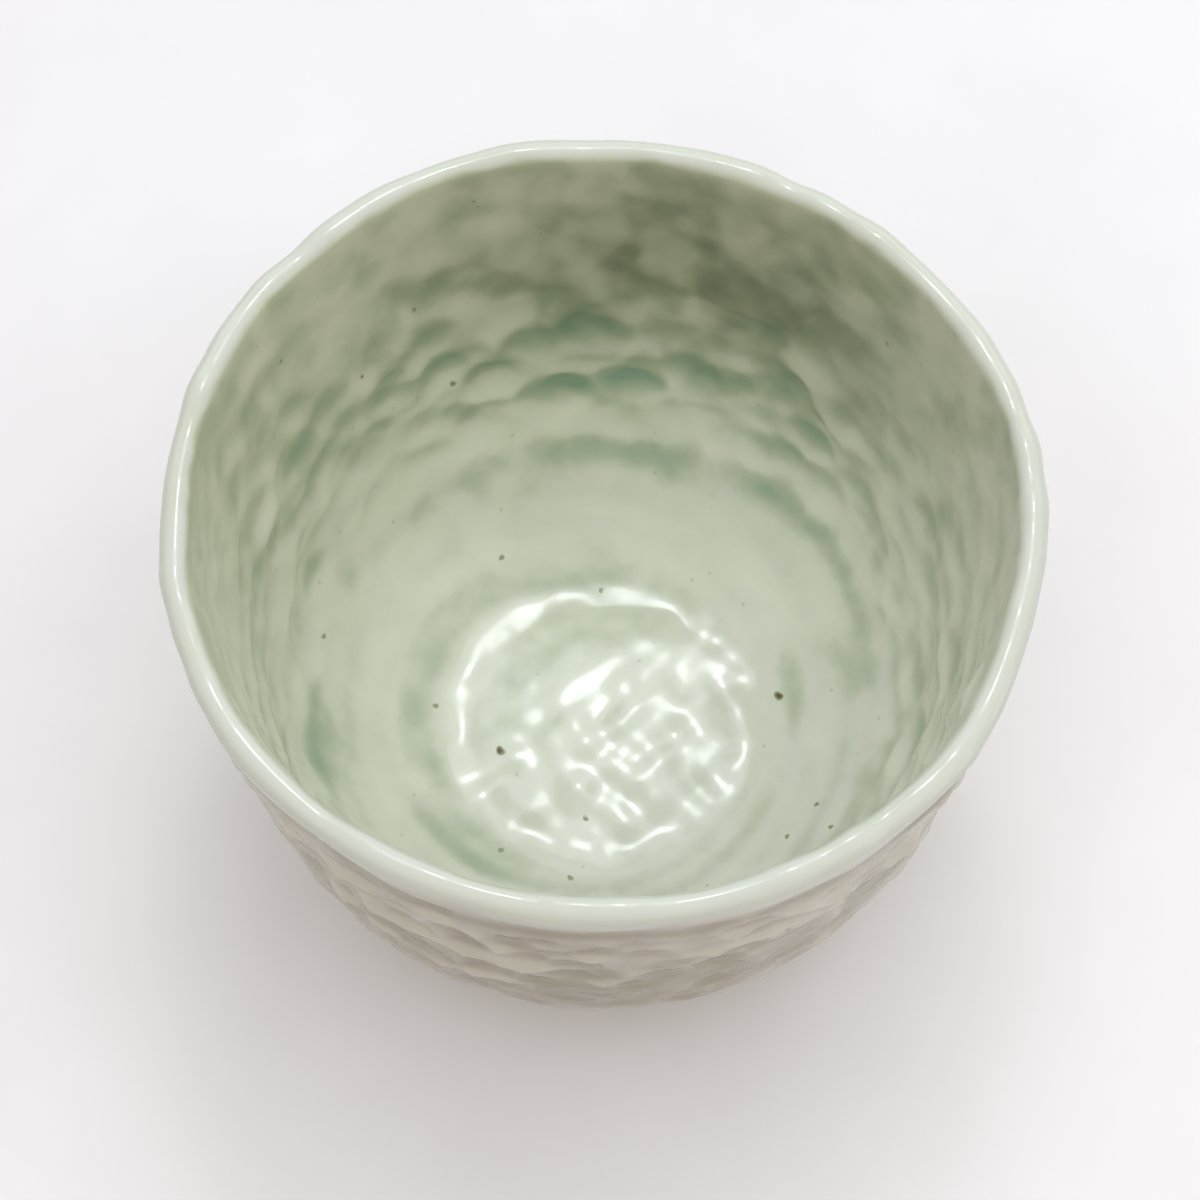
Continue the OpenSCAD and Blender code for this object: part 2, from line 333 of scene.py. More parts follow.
def ripples(x, y, shortest, longest, count, seed):
    """Sum of count plane waves with drawn directions, lengths and phases, scaled to a spread of 1."""
    random = np.random.default_rng(seed)
    total = np.zeros(np.broadcast_shapes(x.shape, y.shape))
    for wave in range(count):
        way, phase = random.uniform(0.0, 2 * math.pi, 2)
        size = random.uniform(shortest, longest)
        total += size * np.sin(2 * math.pi / size * (x * math.cos(way) + y * math.sin(way)) + phase)
    return total / np.std(total)


def wander(turn, fewest, most, seed):
    """Sum of fewest to most waves round the axis, with drawn phases, scaled to a spread of 1."""
    random = np.random.default_rng(seed)
    total = sum(
        random.normal() / waves * np.sin(waves * turn + random.uniform(0.0, 2 * math.pi))
        for waves in range(fewest, most + 1)
    )
    return total / np.std(total)


# Where the lip bulges out or in: turn in degrees, half width in degrees, millimetres outwards
LIP_BULGES = (
    (15, 12, 0.3), (48, 10, -0.55), (72, 14, -0.35), (116, 20, 0.75), (147, 9, 0.6), (180, 9, -0.3),
    (192, 5, 0.3), (214, 10, 0.4), (262, 22, -0.3), (320, 8, 0.5), (342, 10, -0.5),
)
# Where the lip rises or falls: turn in degrees, half width in degrees, millimetres upwards
LIP_RISES = (
    (30, 8, -0.3), (55, 8, 0.2), (92, 6, -0.25), (140, 10, -0.3), (163, 9, 0.35), (192, 9, -0.35),
    (212, 8, 0.3), (232, 9, -0.35), (252, 8, 0.25), (285, 14, -0.2), (318, 8, 0.35), (331, 7, -0.35),
    (350, 9, 0.3),
)
# Greener patches inside, or paler ones below 0: turn and half width in degrees, run and half height in
# millimetres, strength
GREEN_PATCHES = (
    (9, 9, 38.5, 3.5, 0.5), (191, 10, 44.5, 4.0, 0.7), (158, 5, 91.0, 6.0, 0.6), (61, 5, 86.0, 6.0, 0.6),
    (84, 20, 42.0, 2.6, 0.55), (48, 18, 44.0, 2.6, 0.6), (84, 16, 56.5, 3.0, 0.8), (46, 16, 55.0, 3.0, 0.8),
    (136, 12, 50.0, 3.0, 0.1), (172, 8, 74.0, 4.0, 0.4), (25, 10, 60.0, 6.0, 0.1), (125, 9, 80.0, 7.0, 0.4),
    (159, 40, 13.0, 5.0, 0.45), (310, 34, 44.0, 8.0, 0.45), (108, 46, 49.0, 3.6, -0.6),
    (125, 30, 60.0, 4.0, -0.4), (88, 42, 65.0, 5.0, 0.4), (88, 30, 54.0, 3.0, 0.3),
    (142, 20, 47.0, 5.0, -0.55), (140, 24, 84.0, 9.0, 0.15), (36, 24, 88.0, 10.0, 0.15),
)


def summed_bells(bells, turn):
    """Sum of bell curves round the axis."""
    return sum(size * bell_turn(middle, half, turn) for middle, half, size in bells)


def pool_rise(turn, run):
    """Height of the pooled glaze over the inside coat: a low lens over the seam with a wavering edge."""
    section = bowl_section()
    sizes = bpy.context.scene.tea_bowl_sizes
    middle = section.ends[1] + sizes.well_radius * sizes.seam_up + 0.5 * MM * np.sin(3 * turn + 1.0)
    half = sizes.pool_width / 2 * (1 + 0.1 * np.sin(2 * turn) + 0.06 * np.sin(7 * turn + 2.0))
    across = np.clip((run - middle) / half, -1.0, 1.0)
    return sizes.pool_depth * (1 - across * across) ** 2


@lru_cache(maxsize=1)
def smooth_skin():
    """The skin before any mark: stations along the section by turns about the axis, and distances on them.

    base and facing are the section's points and normals. run is the distance along the section from the
    floor's middle, from_lip the distance from the top of the lip, and down_in and down_out are the distances
    below the lip inside and outside.
    """
    ends = bowl_section().ends
    spans = [np.linspace(a, b, n, endpoint=False) for a, b, n in zip(ends[:-1], ends[1:], STEPS)]
    stations = np.concatenate(spans + [ends[-1:]])
    base, facing = along_section(stations)
    run = stations[:, None]
    turn = np.arange(ROUND)[None, :] * 2 * math.pi / ROUND
    lip_middle = (ends[3] + ends[4]) / 2
    return SimpleNamespace(
        ends=ends, base=base, facing=facing, run=run, turn=turn, radius=base[:, :1],
        x=base[:, :1] * np.cos(turn), y=base[:, :1] * np.sin(turn),
        inside=run < lip_middle, from_lip=np.abs(run - lip_middle),
        down_in=np.maximum(ends[3] - run, 0.0), down_out=np.maximum(run - ends[4], 0.0),
    )


def beaten_marks():
    """Rows of hollows and the finer marks, inside and outside, and the bands that they are pressed in.

    A band is 1 where its marks are full. Inside they are softer near the lip and at both sides, and outside
    on the haunch.
    """
    seed = bpy.context.scene.tea_bowl_beaten.seed
    bare = smooth_skin()
    turn = bare.turn
    down_in = bare.down_in
    down_out = bare.down_out
    band_in = ease(2 * MM, 9 * MM, down_in) * (0.6 + 0.4 * ease(16 * MM, 30 * MM, down_in))
    band_in = band_in * (1 - ease(54 * MM, 68 * MM, down_in)) * bare.inside
    band_in = band_in * (1 - 0.35 * bell_turn(15, 44, turn) - 0.4 * bell_turn(182, 38, turn))
    band_out = ease(3 * MM, 10 * MM, down_out) * (1 - 0.5 * ease(32 * MM, 46 * MM, down_out))
    band_out = band_out * (1 - ease(58 * MM, 70 * MM, down_out)) * ~bare.inside
    below_in = np.maximum(down_in - BEATEN_FROM, 0.0)
    below_out = np.maximum(down_out - BEATEN_FROM, 0.0)
    return SimpleNamespace(
        band_in=band_in,
        band_out=band_out,
        rows_in=hollows(turn, below_in, bare.radius, INSIDE_ROWS, seed),
        fine_in=hollows(turn, down_in, bare.radius, INSIDE_FINE, seed + 1),
        rows_out=hollows(turn, below_out, bare.radius, OUTSIDE_ROWS, seed + 2),
        fine_out=hollows(turn, down_out, bare.radius, OUTSIDE_FINE, seed + 3),
    )


def uneven_clay():
    """Height of the long low waves that building by hand leaves on the wall."""
    bare = smooth_skin()
    seed = bpy.context.scene.tea_bowl_beaten.seed + 4
    uneven = ripples(bare.x + 0.6 * bare.run, bare.y - 0.4 * bare.run, 16 * MM, 34 * MM, 14, seed)
    return 0.10 * MM * uneven * ease(20 * MM, 40 * MM, bare.run) * ease(1 * MM, 6 * MM, bare.from_lip)


def floor_ripples():
    """Height of the ripples on the floor, which are busiest at the right and in front."""
    sizes = bpy.context.scene.tea_bowl_beaten
    bare = smooth_skin()
    rippled = ripples(bare.x, bare.y, 4.2 * MM, 11 * MM, 28, sizes.seed + 5)
    busy = 0.32 + 0.68 * ease(-14 * MM, 0 * MM, 0.6 * bare.x - 0.8 * bare.y)
    busy = np.maximum(busy, 0.6 * hump(20 * MM, 2.5 * MM, bare.run))
    return sizes.floor_ripple * rippled * busy * (1 - ease(20 * MM, 29 * MM, bare.run))


def floor_dome():
    """Height of the domed floor, which falls as 1 - (run / crease)^2 and ends in a crease.

    The crease comes nearest at the back, and its edge is the soft corner log(1 + exp(sharp * fall)) / sharp.
    """
    sizes = bpy.context.scene.tea_bowl_beaten
    bare = smooth_skin()
    crease = 21.6 - 2.7 * bell_turn(95, 52, bare.turn) - 1.8 * bell_turn(270, 52, bare.turn)
    crease = (crease + 0.5 * wander(bare.turn, 3, 22, sizes.seed + 9)) * MM
    fall = 1 - (bare.run / crease) ** 2
    sharp = 45.0
    dome = np.logaddexp(0.0, sharp * fall) / sharp
    return sizes.floor_rise * dome


def lip_shape():
    """How the lip strays and what shapes it, each over the whole grid.

    The lip wanders outwards and upwards and carries the wall below it along. Its thickness swells and thins,
    its top is wiped flat, and a groove that wavers runs under it outside.
    """
    sizes = bpy.context.scene.tea_bowl_beaten
    bare = smooth_skin()
    turn = bare.turn
    carried = hump(0.0, 17 * MM, bare.from_lip)
    outward = MM * carried * summed_bells(LIP_BULGES, turn)
    upward = MM * carried * summed_bells(LIP_RISES, turn)
    upward = upward + sizes.lip_wave * carried * wander(turn, 9, 30, sizes.seed + 6)
    swell = sizes.lip_waver * wander(turn, 11, 52, sizes.seed + 7) * hump(0.0, 4 * MM, bare.from_lip)
    wiped = sizes.lip_flat * hump(0.0, 1.3 * MM, bare.from_lip)
    waver = 0.6 * MM * wander(turn, 4, 24, sizes.seed + 8)
    groove = hump(5.0 * MM + waver, 2.2 * MM, bare.down_out) * ~bare.inside
    return SimpleNamespace(
        outward=outward, upward=upward, swell=swell, wiped=wiped, waver=waver, groove=groove
    )


def hollow_mark(beaten, groove):
    """How deep in a hollow the glaze lies, and outside also where shade is painted. Outside, the mark paints
    shade in the hollows besides their thicker glaze, and more in front and towards the bottom.

    The groove under the lip outside counts as a hollow, which paints shade under the lip; the band under the
    lip inside counts as a hollow too.
    """
    bare = smooth_skin()
    deep_in = beaten.band_in * (0.6 * beaten.rows_in + 0.6 * beaten.fine_in)
    deep_out = beaten.band_out * (0.3 * beaten.rows_out + 0.8 * beaten.fine_out)
    deep = deep_in + deep_out
    # Painted shade outside: stronger in front and towards the bottom
    deep = np.where(bare.inside, deep, deep * (0.72 + 0.3 * bell_turn(268, 44, bare.turn)))
    deep = deep * (1 + 0.6 * ease(14 * MM, 40 * MM, bare.down_out))
    deep = deep + 0.6 * ease(18 * MM, 40 * MM, bare.down_out) * bell_turn(268, 60, bare.turn)
    # The groove's share paints shade under the lip outside
    deep = deep + 1.1 * groove + 0.6 * (1 - ease(2 * MM, 10 * MM, bare.down_in)) * bare.inside
    return np.clip(deep, 0.0, 1.2)


def pooled_mark():
    """How much glaze has pooled: in patches, low down, in the ring over the seam and in streaks.

    The streaks run round the lower wall: they are slow round the axis and quick along the section.
    """
    bare = smooth_skin()
    run = bare.run
    turn = bare.turn
    pooled = sum(
        size * bell_turn(middle, half, turn) * hump(at * MM, tall * MM, run)
        for middle, half, at, tall, size in GREEN_PATCHES
    )
    pooled = pooled + 0.2 * (1 - ease(20 * MM, 27 * MM, run))
    pooled = pooled + 0.42 * (1 - ease(34 * MM, 58 * MM, run))
    ring = pool_rise(turn, run + 5 * MM * bell_turn(85, 50, turn))
    ring = ring / bpy.context.scene.tea_bowl_sizes.pool_depth
    pooled = pooled + ring * (0.42 + 0.24 * np.cos(turn - math.radians(200)))
    across = run + 5 * MM * np.cos(turn)
    seed = bpy.context.scene.tea_bowl_beaten.seed + 13
    streaks = ripples(across, 5 * MM * np.sin(turn), 2.4 * MM, 7 * MM, 18, seed)
    streaked = ease(21 * MM, 27 * MM, run) * (1 - ease(52 * MM, 68 * MM, run))
    return pooled + 0.13 * streaks * streaked


def back_shade_mark():
    """Where shade is painted into the glaze: one wide cloud inside, under the lip at the back."""
    bare = smooth_skin()
    back_shade = bell_turn(76, 48, bare.turn) * hump(84 * MM, 20 * MM, bare.run)
    return back_shade * ease(2.0 * MM, 3.5 * MM, bare.from_lip) * bare.inside


def drained_mark(waver):
    """Where the glaze drained off the lip: to a frayed edge just inside, and to a wavering one outside."""
    bare = smooth_skin()
    fray = 0.22 * MM * wander(bare.turn, 14, 80, bpy.context.scene.tea_bowl_beaten.seed + 12)
    return np.where(
        bare.inside,
        1 - ease(1.5 * MM, 2.4 * MM, bare.from_lip + fray),
        1 - ease(3.6 * MM, 6.2 * MM, bare.from_lip + waver),
    )


def raised(lift, lip):
    """Points of the grid: the section raised by lift along its normal, and carried along with the lip."""
    bare = smooth_skin()
    out = bare.base[:, :1] + bare.facing[:, :1] * lift + lip.outward
    tall = bare.base[:, 1:] + bare.facing[:, 1:] * lift + lip.upward
    out = np.where(bare.run == 0.0, 0.0, out)
    return np.stack([out * np.cos(bare.turn), out * np.sin(bare.turn), tall], axis=-1)


@lru_cache(maxsize=1)
def skin():
    """The glazed skin as one grid of stations along the section by turns about the axis.

    A point is the section's point, raised by the height of its marks along the section's normal. The clay
    under it is smoother, and lies about one glaze thickness deeper. The beaten marks fade out at the lip, on
    the lower curve and at the foot. The materials read how the glaze lies, and where light and shade are
    painted, from the marks that go with the points.
    """
    sizes = bpy.context.scene.tea_bowl_beaten
    bare = smooth_skin()
    beaten = beaten_marks()
    lip = lip_shape()
    pressed_in = sizes.inside_depth * (beaten.rows_in - 0.5)
    pressed_in = pressed_in + sizes.inside_fine * (beaten.fine_in - 0.5)
    pressed_out = sizes.outside_depth * (beaten.rows_out - 0.5)
    pressed_out = pressed_out + sizes.outside_fine * (beaten.fine_out - 0.5)
    height = -beaten.band_in * pressed_in - beaten.band_out * pressed_out
    height = height + uneven_clay() + floor_ripples() + floor_dome()
    # Which way the marks tip the glaze: above 0 where it faces up, below 0 where it faces down. The materials
    # paint light and shade from it, paler where it faces up and darker where it faces down, besides the glaze
    # that hangs under ledges
    slope = np.gradient(height, bare.run[:, 0], axis=0)
    ledge_shade = np.where(bare.inside, -slope, slope) * (beaten.band_in + beaten.band_out)
    height = height + lip.swell - lip.wiped - sizes.lip_groove * lip.groove
    points = raised(height, lip)
    marks = {
        "hollow": hollow_mark(beaten, lip.groove),
        "ledge_shade": np.clip(2.5 * ledge_shade, -1.0, 1.0),
        "pooled": pooled_mark(),
        "back_shade": back_shade_mark(),
        "drained": drained_mark(lip.waver),
    }
    return SimpleNamespace(
        run=bare.run[:, 0],
        turn=bare.turn[0],
        ends=bare.ends,
        points=points,
        normals=grid_normals(points),
        clay=raised(np.minimum(CLAY_SHARE * height - GLAZE, height - LEAST_COAT), lip),
        marks={mark: np.broadcast_to(values, height.shape) for mark, values in marks.items()},
    )


def grid_normals(points):
    """Unit normals of a grid that closes round its second axis, from the cross product of its two slopes."""
    along = np.gradient(points, axis=0)
    round_axis = np.roll(points, -1, axis=1) - np.roll(points, 1, axis=1)
    normals = np.cross(along, round_axis)
    size = np.linalg.norm(normals, axis=-1, keepdims=True)
    normals = normals / np.maximum(size, 1e-12)
    flat = size[:, 0, 0] < 1e-12
    normals[flat] = (0.0, 0.0, 1.0)
    return normals


# Meshes from grids


def grid_faces(rows, columns, first, flip=False):
    """Four-cornered faces of a grid that closes round its columns, numbered from vertex first."""
    row = np.arange(rows - 1)[:, None] * columns + first
    column = np.arange(columns)[None, :]
    after = (column + 1) % columns
    corners = [row + column, row + columns + column, row + columns + after, row + after]
    if flip:
        corners.reverse()
    return np.stack(corners, axis=-1).reshape(-1, 4)


def rim_faces(fine, coarse, columns, flip=False):
    """Triangles between a ring of columns vertices from fine on and a ring of half as many from coarse on."""
    half = np.arange(columns // 2)
    f0 = fine + 2 * half
    f1 = f0 + 1
    f2 = fine + (2 * half + 2) % columns
    c0 = coarse + half
    c1 = coarse + (half + 1) % (columns // 2)
    faces = np.concatenate([np.stack(t, axis=-1) for t in ((f0, f1, c0), (f1, c1, c0), (f1, f2, c1))])
    return faces[:, ::-1] if flip else faces


def fan_faces(pole, ring, columns, flip=False):
    """Triangles from one pole vertex to a ring of columns vertices."""
    column = np.arange(columns)
    faces = np.stack([np.full(columns, pole), ring + column, ring + (column + 1) % columns], axis=-1)
    return faces[:, ::-1] if flip else faces


def make_piece(name, vertices, faces, material, node, normals=None, marks=None):
    """A mesh object that rides on the bowl, stands for a node and takes its finish from a slot."""
    mesh = bpy.data.meshes.new(name)
    mesh.from_pydata(vertices.tolist(), [], [face for group in faces for face in group.tolist()])
    mesh.polygons.foreach_set("use_smooth", np.ones(len(mesh.polygons), dtype=bool))
    for mark, values in (marks or {}).items():
        mesh.attributes.new(mark, "FLOAT", "POINT").data.foreach_set("value", values.astype(np.float32))
    if normals is not None:
        mesh.normals_split_custom_set_from_vertices(normals.tolist())
    mesh.materials.append(material)
    piece = bpy.data.objects.new(name, mesh)
    bpy.context.scene.collection.objects.link(piece)
    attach(piece, BODY)
    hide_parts(node)


def coat(name, first, last, material, node):
    """A coat of glaze between two stations: the skin in front, the clay behind, closed at its rims."""
    whole = skin()
    front_rows = slice(max(first, 1), last + 1)
    back_rows = slice(max(first, 2), last + 1, 2)
    front = whole.points[front_rows]
    back = whole.clay[back_rows, ::2]
    front_normals = whole.normals[front_rows]
    back_normals = -whole.normals[back_rows, ::2]
    rows, back_count = len(front), len(back)
    back_first = rows * ROUND
    total = back_first + back_count * CLAY_ROUND
    faces = [grid_faces(rows, ROUND, 0), grid_faces(back_count, CLAY_ROUND, back_first, flip=True)]
    faces.append(rim_faces(back_first - ROUND, total - CLAY_ROUND, ROUND, flip=True))
    vertices = [front.reshape(-1, 3), back.reshape(-1, 3)]
    normals = [front_normals.reshape(-1, 3), back_normals.reshape(-1, 3)]
    marks = {
        mark: [grid[front_rows].reshape(-1), grid[back_rows, ::2].reshape(-1)]
        for mark, grid in whole.marks.items()
    }
    if first == 0:
        vertices.append(np.stack([whole.points[0, 0], whole.clay[0, 0]]))
        normals.append(np.array([[0.0, 0.0, 1.0], [0.0, 0.0, -1.0]]))
        for mark, grid in whole.marks.items():
            marks[mark].append(np.repeat(grid[0, 0], 2))
        faces.append(fan_faces(total, 0, ROUND))
        faces.append(fan_faces(total + 1, back_first, CLAY_ROUND, flip=True))
    else:
        faces.append(rim_faces(0, back_first, ROUND))
    marks = {mark: np.concatenate(values) for mark, values in marks.items()}
    make_piece(name, np.concatenate(vertices), faces, material, node, np.concatenate(normals), marks)


# Materials


def add_node(tree, kind, sockets=None, stops=(), **settings):
    """Adds a node: sets its properties, links or sets its sockets, and fills its colour ramp with stops."""
    node = tree.nodes.new(kind)
    for key, value in settings.items():
        setattr(node, key, value)
    for key, value in (sockets or {}).items():
        if isinstance(value, bpy.types.NodeSocket):
            tree.links.new(value, node.inputs[key])
        else:
            node.inputs[key].default_value = value
    for number, (place, shade) in enumerate(stops):
        elements = node.color_ramp.elements
        element = elements[number] if number < 2 else elements.new(place)
        element.position = place
        element.color = shade
    return node


def new_material(name):
    """An empty node material with its output, as (material, tree, output node)."""
    material = bpy.data.materials.new(name)
    material.use_nodes = True
    material.node_tree.nodes.clear()
    output = material.node_tree.nodes.new("ShaderNodeOutputMaterial")
    return material, material.node_tree, output


def per_metre(millimetres):
    """Texture scale at which one step of a pattern is that many millimetres."""
    return 1000.0 / millimetres


def glaze_tints(tree, where, clouds, blots, marks, painted_warmth):
    """Tints that lie over the glaze's own colour, from the lowest up, each as (blend, share, colour). Some of
    them paint light and shade.
    """
    colours = bpy.context.scene.tea_bowl_glaze
    # The glaze turns olive and darker towards the back left and up towards the lip
    side = add_node(
        tree, "ShaderNodeVectorMath", {0: where, 1: (-6.0, 7.0, 6.0)}, operation="DOT_PRODUCT"
    ).outputs["Value"]
    kiln = add_node(tree, "ShaderNodeMath", {0: clouds, 1: 0.8, 2: side}, operation="MULTIPLY_ADD").outputs[0]
    share = add_node(
        tree, "ShaderNodeMapRange", {"Value": kiln, "From Min": 0.1, "From Max": 1.25, "To Max": 0.5}
    ).outputs["Result"]
    tints = [("MULTIPLY", share, colours.olive)]

    # Painted shade lies in blots under the lip at the back
    share = add_node(
        tree, "ShaderNodeMapRange", {"Value": blots, "From Min": 0.36, "From Max": 0.6, "To Min": 0.68}
    ).outputs["Result"]
    share = add_node(tree, "ShaderNodeMath", {0: share, 1: marks["back_shade"]}, operation="MULTIPLY").outputs[0]
    tints.append(("MULTIPLY", share, colours.back_shade_tint))

    # Painted warm light and painted shade outside: a warm brown tint, most in hollows and where the surface
    # faces down
    if painted_warmth > 0.0:
        share = 0.0
        for part, mark in ((0.4, marks["hollow"]), (-0.6, marks["ledge_shade"]), (0.6, clouds)):
            share = add_node(
                tree, "ShaderNodeMath", {0: mark, 1: part, 2: share}, operation="MULTIPLY_ADD"
            ).outputs[0]
        share = add_node(
            tree, "ShaderNodeMapRange", {"Value": share, "To Min": 0.4 * painted_warmth, "To Max": painted_warmth}
        ).outputs["Result"]
        tints.append(("MIX", share, colours.warm_light_and_shade))

    # Freckles of iron about half a millimetre across and 5 mm apart
    freckles = add_node(
        tree, "ShaderNodeTexVoronoi", {"Vector": where, "Scale": per_metre(5)}
    ).outputs["Distance"]
    share = add_node(
        tree, "ShaderNodeMapRange", {"Value": freckles, "From Min": 0.075, "From Max": 0.03, "To Max": 0.28}
    ).outputs["Result"]
    tints.append(("MIX", share, colours.rust))

    # The lip is drained nearly white, with faint green left in patches
    share = add_node(
        tree, "ShaderNodeMapRange",
        {"Value": clouds, "From Min": 0.45, "From Max": 0.7, "To Min": 1.0, "To Max": 0.6},
    ).outputs["Result"]
    share = add_node(tree, "ShaderNodeMath", {0: share, 1: marks["drained"]}, operation="MULTIPLY").outputs[0]
    tints.append(("MIX", share, colours.lip))
    return tints


def celadon(name, painted_warmth, roughness):
    """Glossy reduction-fired celadon: cream on ridges, grey-green in hollows, blue-green where it pools.

    Thickness is the sum of the mesh's own marks, some of which paint light and shade, and of clouds in the
    glaze, and a ramp turns it to colour.
    """
    colours = bpy.context.scene.tea_bowl_glaze
    material, tree, output = new_material(name)
    where = add_node(tree, "ShaderNodeTexCoord").outputs["Object"]
    marks = {
        mark: add_node(tree, "ShaderNodeAttribute", attribute_name=mark).outputs["Fac"]
        for mark in ("hollow", "ledge_shade", "pooled", "back_shade", "drained")
    }

    # Clouds of thicker glaze 16 mm across with ragged edges, blots 8 mm across and runs 4 mm across
    clouds, blots, runs = (
        add_node(
            tree, "ShaderNodeTexNoise",
            {"Vector": where, "Scale": per_metre(size), "Detail": detail, "Roughness": 0.55,
             "Distortion": 0.3},
        ).outputs["Fac"]
        for size, detail in ((16, 4.0), (8, 1.5), (4, 3.0))
    )
    # The blots are faint low down, where the glaze ran together
    height = add_node(tree, "ShaderNodeSeparateXYZ", {"Vector": where}).outputs["Z"]
    calm = add_node(
        tree, "ShaderNodeMapRange", {"Value": height, "From Min": 15 * MM, "From Max": 42 * MM, "To Min": 0.3}
    ).outputs["Result"]
    blotted = add_node(tree, "ShaderNodeMath", {0: blots, 1: calm}, operation="MULTIPLY").outputs[0]
    # Each turn of the loop adds one mark's share of the thickness. The start takes off most of what the
    # three noises add on the whole
    thick = -0.61
    # The ledge share paints light and shade, paler where the surface faces up and darker where it faces down;
    # the hollow share paints shade outside besides the thicker glaze
    shares = (
        (0.5, marks["hollow"]), (-0.3, marks["ledge_shade"]), (0.55, marks["pooled"]), (0.62, clouds),
        (0.5, blotted), (0.3, runs),
    )
    for share, mark in shares:
        thick = add_node(
            tree, "ShaderNodeMath", {0: mark, 1: share, 2: thick}, operation="MULTIPLY_ADD"
        ).outputs[0]
    stops = ((0.05, colours.thin), (0.3, colours.pale), (0.6, colours.celadon), (1.0, colours.pooled))
    tone = add_node(tree, "ShaderNodeValToRGB", {"Fac": thick}, stops).outputs["Color"]
    # Each turn of the loop lays one tint over the ones before it. A mix's colours are its sockets 6 and 7
    for blend, share, tint in glaze_tints(tree, where, clouds, blots, marks, painted_warmth):
        tone = add_node(
            tree, "ShaderNodeMix", {"Factor": share, 6: tone, 7: tint}, data_type="RGBA", blend_type=blend
        ).outputs[2]

    # Glassy surface with a faint peel 1.6 mm across
    peel = add_node(tree, "ShaderNodeTexNoise", {"Vector": where, "Scale": per_metre(1.6)}).outputs["Fac"]
    bump = add_node(tree, "ShaderNodeBump", {"Height": peel, "Strength": 0.25, "Distance": 0.03 * MM})
    gloss = add_node(
        tree, "ShaderNodeMapRange",
        {"Value": runs, "From Min": 0.3, "From Max": 0.7, "To Min": roughness, "To Max": 1.8 * roughness},
    )
    shader = add_node(
        tree, "ShaderNodeBsdfPrincipled",
        {"Base Color": tone, "Roughness": gloss.outputs["Result"], "Normal": bump.outputs["Normal"],
         "IOR": 1.52},
    )
    tree.links.new(shader.outputs["BSDF"], output.inputs["Surface"])
    return material


def bare_porcelain():
    """Bisque porcelain off the wheel: fine matt grit with turning marks 1.8 mm apart and toasted clouds."""
    colours = bpy.context.scene.tea_bowl_glaze
    material, tree, output = new_material("bare_porcelain_turned")
    where = add_node(tree, "ShaderNodeTexCoord").outputs["Object"]
    toast, grit = (
        add_node(
            tree, "ShaderNodeTexNoise",
            {"Vector": where, "Scale": per_metre(size), "Detail": 4.0, "Roughness": 0.65},
        ).outputs["Fac"]
        for size in (14, 0.5)
    )
    tone = add_node(tree, "ShaderNodeValToRGB", {"Fac": toast}, ((0.45, colours.clay), (0.8, colours.flash)))
    # The wave texture has 20 rings to a unit of its scale
    rings = add_node(
        tree, "ShaderNodeTexWave",
        {"Vector": where, "Scale": per_metre(1.8) / 20, "Distortion": 1.5, "Detail": 2.0},
        wave_type="RINGS", rings_direction="Z",
    ).outputs["Fac"]
    relief = add_node(
        tree, "ShaderNodeMath", {0: rings, 1: 0.5, 2: grit}, operation="MULTIPLY_ADD"
    ).outputs[0]
    bump = add_node(tree, "ShaderNodeBump", {"Height": relief, "Strength": 0.5, "Distance": 0.08 * MM})
    shader = add_node(
        tree, "ShaderNodeBsdfPrincipled",
        {"Base Color": tone.outputs["Color"], "Normal": bump.outputs["Normal"], "Roughness": 0.75,
         "IOR": 1.5},
    )
    tree.links.new(shader.outputs["BSDF"], output.inputs["Surface"])
    return material


def iron_spot():
    """Iron that melted into the glaze: dark olive brown, paler towards its edge, under gloss."""
    colours = bpy.context.scene.tea_bowl_glaze
    material, tree, output = new_material("iron_spot_under_glaze")
    where = add_node(tree, "ShaderNodeTexCoord").outputs["Object"]
    edge = add_node(tree, "ShaderNodeAttribute", attribute_name="edge").outputs["Fac"]
    grain = add_node(tree, "ShaderNodeTexNoise", {"Vector": where, "Scale": per_metre(0.4)}).outputs["Fac"]
    shade = add_node(tree, "ShaderNodeMath", {0: grain, 1: 0.3, 2: edge}, operation="MULTIPLY_ADD").outputs[0]
    stops = ((0.35, colours.iron), (0.75, colours.rust), (1.0, colours.rust_rim))
    tone = add_node(tree, "ShaderNodeValToRGB", {"Fac": shade}, stops).outputs["Color"]
    shader = add_node(tree, "ShaderNodeBsdfPrincipled", {"Base Color": tone, "Roughness": 0.12, "IOR": 1.52})
    tree.links.new(shader.outputs["BSDF"], output.inputs["Surface"])
    return material


